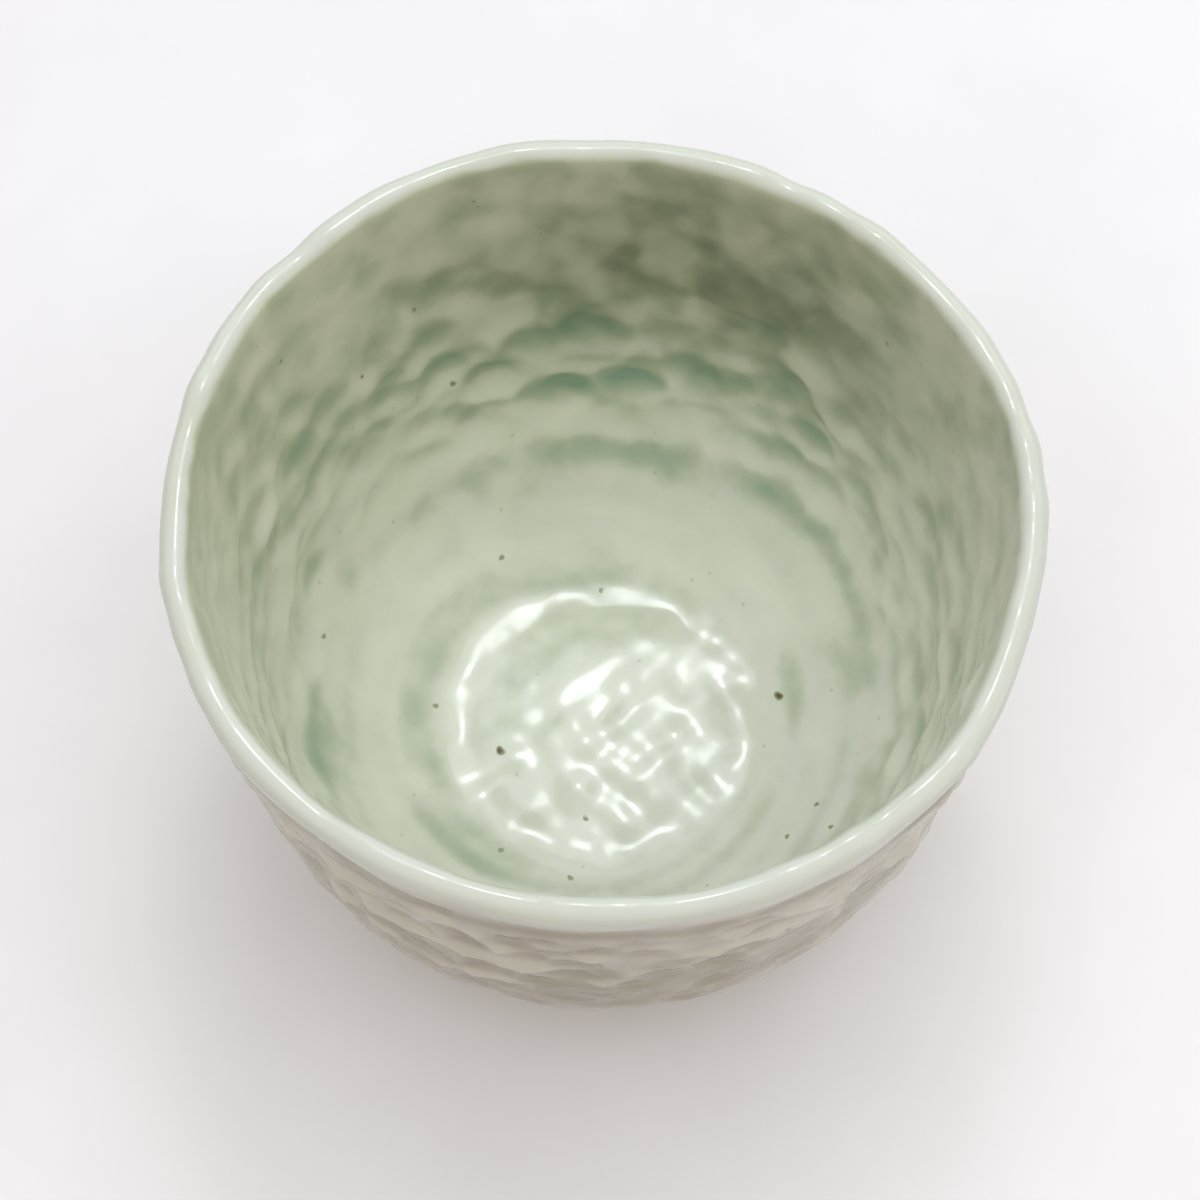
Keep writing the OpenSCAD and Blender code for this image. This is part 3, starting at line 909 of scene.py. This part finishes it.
def matt_paper():
    """Matt white paper: even white with a trace of mottling 30 mm across.

    Beyond the lamps the sheet is shown pale to the camera and in gloss, and lights nothing.
    """
    material, tree, output = new_material("matt_white_paper")
    where = add_node(tree, "ShaderNodeTexCoord").outputs["Object"]
    mottle = add_node(
        tree, "ShaderNodeTexNoise", {"Vector": where, "Scale": per_metre(30), "Detail": 3.0}
    ).outputs["Fac"]
    stops = ((0.3, bpy.context.scene.tea_bowl_stage.floor), (0.7, linear("#F7F8F7")))
    tone = add_node(tree, "ShaderNodeValToRGB", {"Fac": mottle}, stops)
    apart = add_node(tree, "ShaderNodeVectorMath", {0: where}, operation="LENGTH").outputs["Value"]
    glow = add_node(
        tree, "ShaderNodeMapRange", {"Value": apart, "From Min": 0.7, "From Max": 1.5, "To Max": 0.6}
    ).outputs["Result"]
    rays = add_node(tree, "ShaderNodeLightPath").outputs
    seen = rays["Is Camera Ray"]
    for kind in ("Is Glossy Ray", "Is Transmission Ray"):
        seen = add_node(
            tree, "ShaderNodeMath", {0: seen, 1: rays[kind]}, operation="ADD", use_clamp=True
        ).outputs[0]
    glow = add_node(tree, "ShaderNodeMath", {0: glow, 1: seen}, operation="MULTIPLY").outputs[0]
    shader = add_node(
        tree, "ShaderNodeBsdfPrincipled",
        {"Base Color": tone.outputs["Color"], "Roughness": 0.85, "Emission Color": linear("#F6FAFF"),
         "Emission Strength": glow},
    )
    tree.links.new(shader.outputs["BSDF"], output.inputs["Surface"])
    return material


@lru_cache(maxsize=None)
def material_named(name):
    """Makes each material once."""
    makers = {
        "inside": lambda: celadon("celadon_inside_glossy", 0.0, 0.1),
        "outside": lambda: celadon("celadon_outside_thin", 0.8, 0.1),
        "lip": lambda: celadon("celadon_lip_drained", 0.0, 0.05),
        "pool": lambda: celadon("celadon_pooled", 0.0, 0.1),
        "clay": bare_porcelain,
        "iron": iron_spot,
        "paper": matt_paper,
    }
    return makers[name]()


# Pieces


def station(stretch):
    """Number of the station at which a stretch of the section starts."""
    return sum(STEPS[:stretch])


def even_station(run):
    """Number of the even station nearest to a distance along the section."""
    return 2 * int(np.argmin(np.abs(skin().run[::2] - run)))


def seam_stations():
    """The stations inside and outside between which the wall's clay lies over the floor disc's.

    The seam runs from the inside curve outward and down, and meets the haunch where the distance from the
    haunch's centre is its radius less the glaze.
    """
    sizes = bpy.context.scene.tea_bowl_sizes
    section = bowl_section()
    up = np.array([math.sin(sizes.seam_up), -math.cos(sizes.seam_up)])
    start = section.well_c + (sizes.well_radius + GLAZE) * up
    way = np.array([math.cos(sizes.seam_fall), -math.sin(sizes.seam_fall)])
    reach = start - section.haunch_c
    clay_r = sizes.haunch_radius - GLAZE
    far = -reach @ way + math.sqrt((reach @ way) ** 2 - reach @ reach + clay_r**2)
    out = reach + far * way
    angle = math.atan2(-out[1], out[0]) - sizes.wall_lean
    inner = even_station(section.ends[1] + sizes.well_radius * sizes.seam_up)
    outer = even_station(section.ends[5] + sizes.haunch_radius * angle)
    return inner, outer


def lathe(name, rows, node):
    """A clay piece from rings: the last ring repeats the first, or both ends are rings at a pole."""
    columns = rows.shape[1]
    closed = np.allclose(rows[0], rows[-1])
    if closed:
        rings = rows[:-1]
        faces = grid_faces(len(rows), columns, 0) % (len(rings) * columns)
        make_piece(name, rings.reshape(-1, 3), [faces], material_named("clay"), node)
        return
    rings = rows[1:-1]
    total = len(rings) * columns
    vertices = np.concatenate([rings.reshape(-1, 3), rows[:1, 0], rows[-1:, 0]])
    faces = [
        grid_faces(len(rings), columns, 0),
        fan_faces(total, 0, columns),
        fan_faces(total + 1, total - columns, columns, flip=True),
    ]
    make_piece(name, vertices, faces, material_named("clay"), node)


def rings_of(profile, columns):
    """Rings of points from (radius, height) pairs."""
    turn = np.arange(columns) * 2 * math.pi / columns
    radius = profile[:, :1]
    flat = np.broadcast_to(profile[:, 1:], (len(profile), columns))
    return np.stack([radius * np.cos(turn), radius * np.sin(turn), flat], axis=-1)


def foot_top(radius):
    """Height of the groove's ceiling: the haunch's arc, lower by the glaze and the seat."""
    sizes = bpy.context.scene.tea_bowl_sizes
    centre = bowl_section().haunch_c
    inner = sizes.haunch_radius - GLAZE - sizes.foot_seat
    return centre[1] - np.sqrt(inner**2 - (radius - centre[0]) ** 2)


class TEABOWL_OT_inside_glaze(bpy.types.Operator):
    """Builds the coat of celadon inside, from the floor's middle up to the lip"""

    bl_idname = "tea_bowl.inside_glaze"
    bl_label = "Inside glaze"

    def execute(self, context):
        coat("glaze_inside", 0, station(3), material_named("inside"), "inside_glaze")
        return {"FINISHED"}


class TEABOWL_OT_lip_glaze(bpy.types.Operator):
    """Builds the drained band of glaze over the lip"""

    bl_idname = "tea_bowl.lip_glaze"
    bl_label = "Lip glaze"

    def execute(self, context):
        coat("glaze_lip", station(3), station(4), material_named("lip"), "lip_glaze")
        return {"FINISHED"}


class TEABOWL_OT_outside_glaze(bpy.types.Operator):
    """Builds the coat of celadon outside, from the lip down to the foot ring"""

    bl_idname = "tea_bowl.outside_glaze"
    bl_label = "Outside glaze"

    def execute(self, context):
        finish = material_named("outside")
        coat("glaze_outside", station(4), station(6), finish, "outside_glaze")
        return {"FINISHED"}


class TEABOWL_OT_wall(bpy.types.Operator):
    """Builds the beaten clay wall under the glaze, from seam to seam"""

    bl_idname = "tea_bowl.wall"
    bl_label = "Wall"

    def execute(self, context):
        inner, outer = seam_stations()
        rows = skin().clay[inner:outer + 1:2, ::2]
        rows = np.concatenate([rows, rows[:1]])
        lathe("clay_wall", rows, "wall")
        return {"FINISHED"}


class TEABOWL_OT_floor_disc(bpy.types.Operator):
    """Builds the clay floor disc with its domed top, bevelled edge and the groove for the foot ring"""

    bl_idname = "tea_bowl.floor_disc"
    bl_label = "Floor disc"

    def execute(self, context):
        sizes = context.scene.tea_bowl_sizes
        inner, outer = seam_stations()
        whole = skin()
        inside_r = FOOT_RADIUS - sizes.foot_width
        centre = bowl_section().haunch_c
        clay_r = sizes.haunch_radius - GLAZE
        groove = np.linspace(FOOT_RADIUS, inside_r, 9)
        under = np.linspace(inside_r, centre[0], 9)
        flat = np.linspace(centre[0], 0.0, 24)[1:]
        profile = np.concatenate([
            np.stack([groove, foot_top(groove)], axis=1),
            np.stack([under, centre[1] - np.sqrt(clay_r**2 - (under - centre[0]) ** 2)], axis=1),
            np.stack([flat, np.full(len(flat), UNDERSIDE)], axis=1),
        ])
        rows = np.concatenate([
            whole.clay[0:inner + 1:2, ::2], whole.clay[outer::2, ::2], rings_of(profile, CLAY_ROUND)
        ])
        lathe("clay_floor_disc", rows, "floor_disc")
        return {"FINISHED"}


class TEABOWL_OT_foot_ring(bpy.types.Operator):
    """Builds the turned foot ring with its rounded edges"""

    bl_idname = "tea_bowl.foot_ring"
    bl_label = "Foot ring"

    def execute(self, context):
        sizes = context.scene.tea_bowl_sizes
        inside_r = FOOT_RADIUS - sizes.foot_width
        corner = 1.1 * MM
        bend = np.linspace(0.0, math.pi / 2, 9)
        outer_z = np.linspace(foot_top(FOOT_RADIUS), corner, 14)
        inner_z = np.linspace(corner, foot_top(inside_r), 12)
        top = np.linspace(inside_r, FOOT_RADIUS, 9)[1:]
        # Turning marks 1.7 mm apart, which fade out above the rounded edge
        mark = 0.05 * MM
        turned = mark * np.sin(2 * math.pi * outer_z / (1.7 * MM)) * ease(0.0, 1.0 * MM, outer_z - corner)
        profile = np.concatenate([
            np.stack([FOOT_RADIUS - mark + turned, outer_z], axis=1),
            np.stack([FOOT_RADIUS - corner * (1 - np.cos(bend)), corner * (1 - np.sin(bend))], axis=1)[1:],
            np.stack([inside_r + corner * (1 - np.sin(bend)), corner * (1 - np.cos(bend))], axis=1),
            np.stack([np.full(len(inner_z) - 1, inside_r), inner_z[1:]], axis=1),
            np.stack([top, foot_top(top)], axis=1),
        ])
        profile[-1] = profile[0]
        lathe("clay_foot_ring", rings_of(profile, CLAY_ROUND), "foot_ring")
        return {"FINISHED"}


class TEABOWL_OT_well_pool(bpy.types.Operator):
    """Builds the ring of pooled glaze over the seam: a low lens whose edges dip just under the inside coat"""

    bl_idname = "tea_bowl.well_pool"
    bl_label = "Well pool"

    def execute(self, context):
        sizes = context.scene.tea_bowl_sizes
        whole = skin()
        middle = whole.ends[1] + sizes.well_radius * sizes.seam_up
        reach = 0.62 * sizes.pool_width
        first = even_station(middle - reach)
        last = even_station(middle + reach)
        rows = slice(first, last + 1)
        run = whole.run[rows, None]
        dip = 0.03 * MM
        rise = pool_rise(whole.turn[None, :], run) - dip
        front = whole.points[rows] + whole.normals[rows] * rise[..., None]
        back = whole.points[rows] - whole.normals[rows] * (0.25 * MM)
        count = len(front)
        total = count * ROUND
        faces = [grid_faces(count, ROUND, 0), grid_faces(count, ROUND, total, flip=True)]
        column = np.arange(ROUND)
        after = (column + 1) % ROUND
        low = np.stack([column, after, total + after, total + column], axis=-1)
        top = (count - 1) * ROUND
        high = np.stack([top + column, total + top + column, total + top + after, top + after], axis=-1)
        faces.extend([low, high])
        normals = np.concatenate([grid_normals(front).reshape(-1, 3), -whole.normals[rows].reshape(-1, 3)])
        marks = {mark: np.tile(grid[rows].reshape(-1), 2) for mark, grid in whole.marks.items()}
        make_piece(
            "glaze_well_pool", np.concatenate([front.reshape(-1, 3), back.reshape(-1, 3)]), faces,
            material_named("pool"), "well_pool", normals, marks,
        )
        return {"FINISHED"}


def speck_places():
    """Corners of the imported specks, the number of each corner's speck and the middles of the specks.

    Corners within 2 mm of each other belong to one speck.
    """
    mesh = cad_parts["iron_specks"].data
    corners = np.zeros(3 * len(mesh.vertices), dtype=np.float32)
    mesh.vertices.foreach_get("co", corners)
    corners = np.unique(corners.reshape(-1, 3).round(6), axis=0)
    near = np.linalg.norm(corners[:, None] - corners[None], axis=-1) < 2 * MM
    label = np.unique(near.argmax(axis=1), return_inverse=True)[1]
    count = np.bincount(label)
    middles = np.stack([np.bincount(label, corners[:, axis]) / count for axis in range(3)], axis=-1)
    return corners, label, middles


def speck_seats():
    """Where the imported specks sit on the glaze: the points, the normals there and the specks' half widths.

    A speck is as wide as its corners lie from the line through its middle.
    """
    whole = skin()
    corners, label, middles = speck_places()
    # The first two stations are left out, because all their points crowd at the pole
    flat = whole.points[2:].reshape(-1, 3)
    nearest = np.array([np.argmin(np.sum((flat - middle) ** 2, axis=1)) for middle in middles])
    row = nearest // ROUND + 2
    column = nearest % ROUND
    normal = whole.normals[row, column]
    lift = np.where(whole.run[row] < whole.ends[2], pool_rise(whole.turn[column], whole.run[row]), 0.0)
    seat = whole.points[row, column] + normal * lift[:, None]
    offset = corners - middles[label]
    offset = offset - normal[label] * np.sum(offset * normal[label], axis=1, keepdims=True)
    wide = np.zeros(len(middles))
    np.maximum.at(wide, label, np.linalg.norm(offset, axis=1))
    return seat, normal, wide


# Corners round a speck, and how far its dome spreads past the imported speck
SPECK_SIDES = 20
SPECK_SPREAD = 1.2


class TEABOWL_OT_iron_specks(bpy.types.Operator):
    """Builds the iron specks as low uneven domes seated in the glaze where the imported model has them"""

    bl_idname = "tea_bowl.iron_specks"
    bl_label = "Iron specks"

    def execute(self, context):
        seat, normal, wide = speck_seats()
        # A direction that no speck faces gives each speck its two ways across
        side = np.cross(normal, np.array([0.31, 0.17, 0.94]))
        side = side / np.linalg.norm(side, axis=1, keepdims=True)
        other = np.cross(normal, side)
        # Rings from the middle of the dome out, over its edge and back to the middle underneath
        out = np.array([0.0, 0.35, 0.65, 0.88, 1.0, 0.8, 0.0])
        tall = np.array([0.04, 0.038, 0.03, 0.015, -0.02, -0.09, -0.09]) * MM
        angle = np.arange(SPECK_SIDES) * 2 * math.pi / SPECK_SIDES
        phase = np.arange(len(seat))[:, None] * 1.7
        uneven = 1 + 0.16 * np.sin(2 * angle + phase) + 0.1 * np.sin(3 * angle + 2 * phase)
        radius = SPECK_SPREAD * wide[:, None, None] * out[None, :, None] * uneven[:, None, :]
        points = seat[:, None, None] + radius[..., None] * (
            np.cos(angle)[:, None] * side[:, None, None] + np.sin(angle)[:, None] * other[:, None, None]
        )
        points = points + tall[None, :, None, None] * normal[:, None, None]
        rings = points[:, 1:-1]
        ring_count = rings.shape[1]
        pole = ring_count * SPECK_SIDES
        vertices = np.concatenate(
            [rings.reshape(len(seat), -1, 3), points[:, :1, 0], points[:, -1:, 0]], axis=1
        ).reshape(-1, 3)
        single = [
            grid_faces(ring_count, SPECK_SIDES, 0),
            fan_faces(pole, 0, SPECK_SIDES),
            fan_faces(pole + 1, pole - SPECK_SIDES, SPECK_SIDES, flip=True),
        ]
        start = np.arange(len(seat))[:, None, None] * (pole + 2)
        faces = [(group[None] + start).reshape(-1, group.shape[1]) for group in single]
        edge = np.concatenate([np.repeat(out[1:-1], SPECK_SIDES), [0.0, 1.0]])
        # Small specks have melted further into the glaze
        faint = 1.15 * (1 - wide / np.max(wide))
        marks = {"edge": (edge[None, :] + faint[:, None]).ravel()}
        make_piece(
            "iron_spots", vertices, faces, material_named("iron"), "iron_specks", marks=marks
        )
        return {"FINISHED"}


# Stage


def add_lamp(name, size, place, aim, radiance, tint="#FFFFFF"):
    """A softbox whose face has the given radiance, where 1 is a white wall in full light."""
    light = bpy.data.lights.new(name, "AREA")
    light.shape = "RECTANGLE"
    light.size, light.size_y = size
    light.energy = math.pi * size[0] * size[1] * radiance
    light.color = linear(tint)[:3]
    lamp = bpy.data.objects.new(name, light)
    bpy.context.scene.collection.objects.link(lamp)
    way = np.array(aim) - np.array(place)
    lamp.location = place
    lamp.rotation_euler = (math.atan2(np.hypot(way[0], way[1]), -way[2]), 0.0, math.atan2(-way[0], way[1]))
    return lamp


def add_lamps():
    """Softboxes above, behind, at the right and in front, and two small lamps that the well mirrors."""
    middle = (0.0, 0.0, 0.03)
    overhead = add_lamp("overhead_softbox", (1.6, 1.0), (0.05, -0.12, 0.85), middle, 1.68, "#F2F7FF")
    overhead.visible_glossy = False
    add_lamp("veil_panel", (0.27, 0.27), (0.03, 0.3, 0.68), middle, 2.6, "#ECF3FF")
    add_lamp("bulb", (0.08, 0.08), (0.024, 0.26, 0.66), middle, 12.0, "#F4F8FF")
    add_lamp("back_softbox", (1.8, 0.9), (0.0, 1.1, 0.7), middle, 0.9, "#F6FAFF")
    add_lamp("right_fill", (0.6, 0.6), (1.0, -0.3, 0.3), middle, 0.9)
    add_lamp("front_fill", (1.2, 0.5), (0.0, -0.95, 0.5), middle, 0.45, "#FFD2B4")


def add_camera(scene):
    """The camera in front of the bowl and high above it, with the tilt that the panel shows."""
    sizes = scene.tea_bowl_stage
    camera_data = bpy.data.cameras.new("camera")
    camera_data.lens = sizes.lens
    camera_data.sensor_width = 36.0
    camera = bpy.data.objects.new("camera", camera_data)
    camera.location = (sizes.camera_side, -sizes.camera_back, sizes.camera_up)
    camera.rotation_euler = (sizes.camera_tilt, 0.0, 0.0)
    scene.collection.objects.link(camera)
    scene.camera = camera


def add_floor(scene):
    """One flat sheet of paper, which reaches far enough to fill the view from the side."""
    reach = 12.0
    mesh = bpy.data.meshes.new("floor")
    corners = [(-reach, -reach, 0.0), (reach, -reach, 0.0), (reach, reach, 0.0), (-reach, reach, 0.0)]
    mesh.from_pydata(corners, [], [(0, 1, 2, 3)])
    mesh.materials.append(material_named("paper"))
    floor = bpy.data.objects.new("floor", mesh)
    scene.collection.objects.link(floor)


class TEABOWL_OT_stage(bpy.types.Operator):
    """Sets the camera, the soft lamps, the world and the pale floor"""

    bl_idname = "tea_bowl.stage"
    bl_label = "Stage"

    def execute(self, context):
        scene = context.scene
        scene.view_settings.view_transform = "Standard"
        add_camera(scene)
        add_lamps()
        scene.world = bpy.data.worlds.new("pale_room")
        scene.world.use_nodes = True
        background = scene.world.node_tree.nodes["Background"]
        background.inputs["Color"].default_value = linear("#FFDDC8")
        background.inputs["Strength"].default_value = 0.2
        add_floor(scene)
        return {"FINISHED"}


BUILDERS = (
    TEABOWL_OT_inside_glaze,
    TEABOWL_OT_lip_glaze,
    TEABOWL_OT_outside_glaze,
    TEABOWL_OT_wall,
    TEABOWL_OT_floor_disc,
    TEABOWL_OT_foot_ring,
    TEABOWL_OT_well_pool,
    TEABOWL_OT_iron_specks,
    TEABOWL_OT_stage,
)


class TEABOWL_PT_panel(bpy.types.Panel):
    """Sizes, colours and pieces of the tea bowl"""

    bl_idname = "TEABOWL_PT_panel"
    bl_label = "Tea bowl"
    bl_space_type = "VIEW_3D"
    bl_region_type = "UI"
    bl_category = "Tea bowl"

    def draw(self, context):
        for group in GROUPS:
            settings = getattr(context.scene, group)
            for name in settings.__annotations__:
                self.layout.prop(settings, name)
        for builder in BUILDERS:
            self.layout.operator(builder.bl_idname)


GROUPS = {
    "tea_bowl_sizes": BowlSizes,
    "tea_bowl_beaten": BeatenSizes,
    "tea_bowl_glaze": GlazeColours,
    "tea_bowl_stage": StageSizes,
}


def register():
    """Registers the classes and hangs the settings on the scene."""
    for group, settings in GROUPS.items():
        bpy.utils.register_class(settings)
        setattr(bpy.types.Scene, group, PointerProperty(type=settings))
    for item in BUILDERS + (TEABOWL_PT_panel,):
        bpy.utils.register_class(item)


def unregister():
    """Takes the classes and settings away again."""
    for item in reversed(BUILDERS + (TEABOWL_PT_panel,)):
        bpy.utils.unregister_class(item)
    for group, settings in GROUPS.items():
        delattr(bpy.types.Scene, group)
        bpy.utils.unregister_class(settings)


def main():
    """Builds every piece and the stage."""
    register()
    for builder in BUILDERS:
        group, name = builder.bl_idname.split(".")
        getattr(getattr(bpy.ops, group), name)()


if __name__ == "__main__":
    main()
